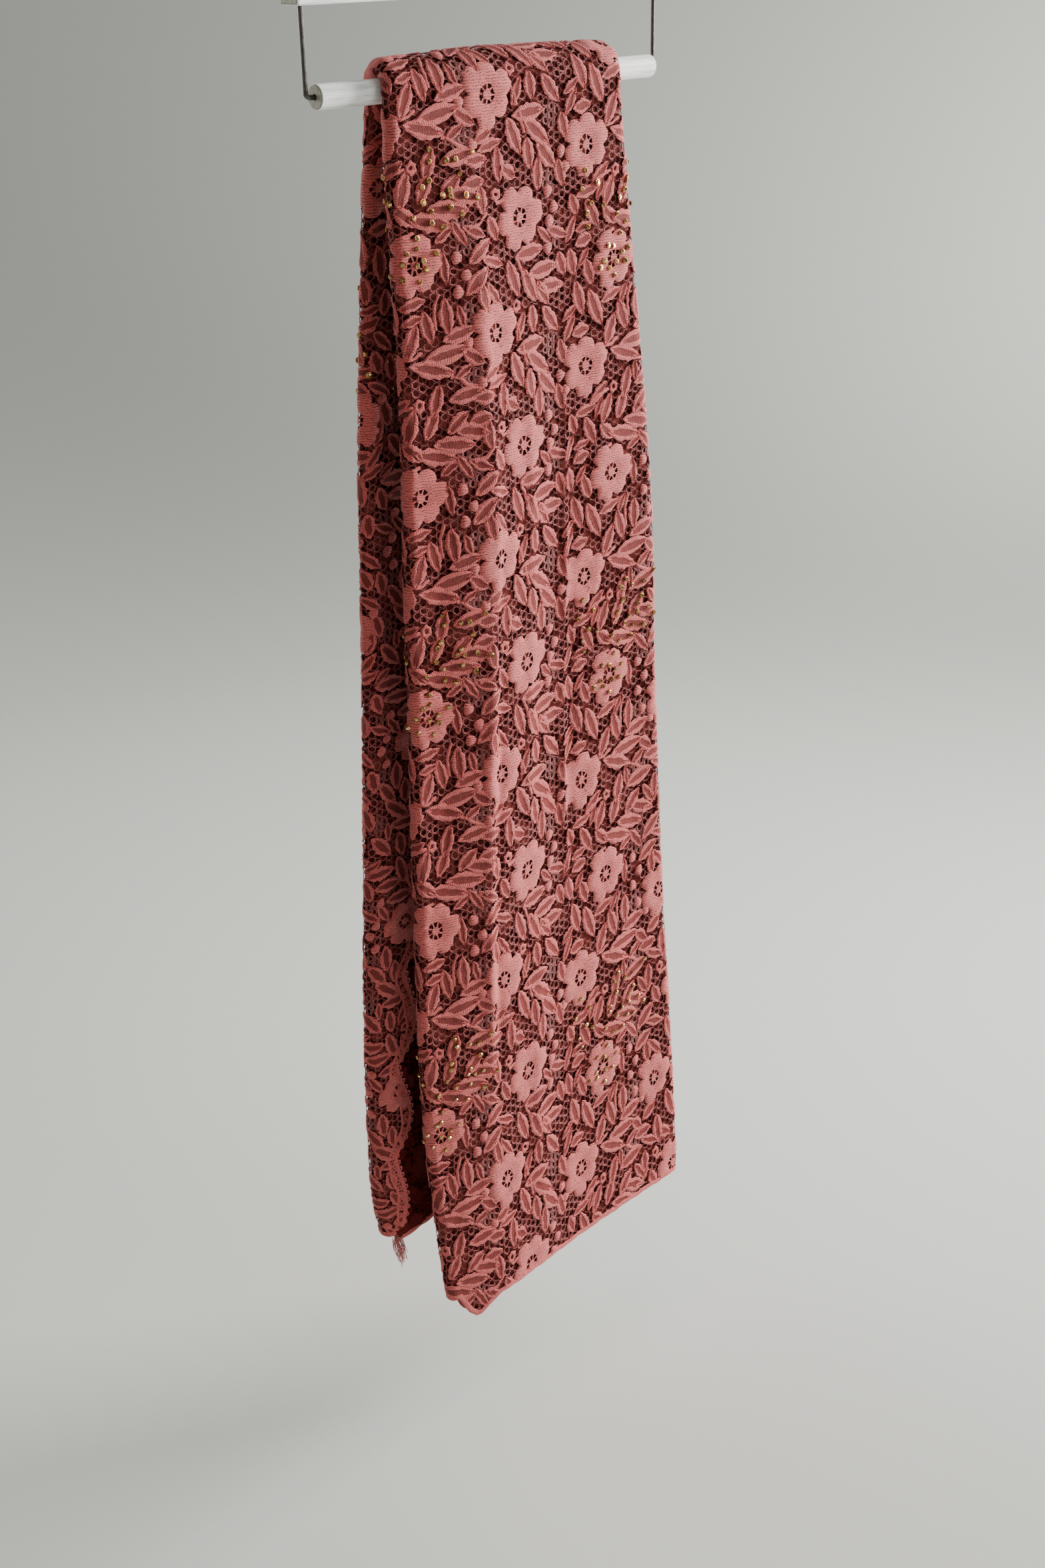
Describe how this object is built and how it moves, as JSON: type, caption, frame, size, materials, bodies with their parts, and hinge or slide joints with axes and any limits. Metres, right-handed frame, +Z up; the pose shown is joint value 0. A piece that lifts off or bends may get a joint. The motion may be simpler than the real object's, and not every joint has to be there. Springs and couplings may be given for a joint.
{
  "type": "lace hijab shawl on a rod hanger",
  "caption": "Dusty-rose corded lace shawl folded lengthwise into a packet and draped over the round wooden rod of a hooked trouser-style hanger.",
  "frame": {"origin": "crown of the hook, where the rail touches it", "axes": "+X along the rod, to the right seen from the longer front drop; -Y to the front; +Z up"},
  "size_m": [0.2987, 0.0482, 0.9999],
  "materials": {
    "chrome": "polished steel wire",
    "white_paint": "satin white paint on wood",
    "rose_lace": "corded lace, dusty rose",
    "rose_lace_under": "the same lace, in the shade of the layers over it"
  },
  "bodies": {
    "root": {"hook": "chrome", "arm_left": "chrome", "arm_right": "chrome", "top_bar": "white_paint", "rod": "white_paint", "shawl_front": "rose_lace", "shawl_over_rod": "rose_lace", "shawl_back": "rose_lace", "selvage_front": "rose_lace", "selvage_over_rod": "rose_lace", "selvage_back": "rose_lace", "shawl_front_inner_layers": "rose_lace_under", "shawl_over_rod_inner_layers": "rose_lace_under", "shawl_back_inner_layers": "rose_lace_under"}
  },
  "joints": []
}
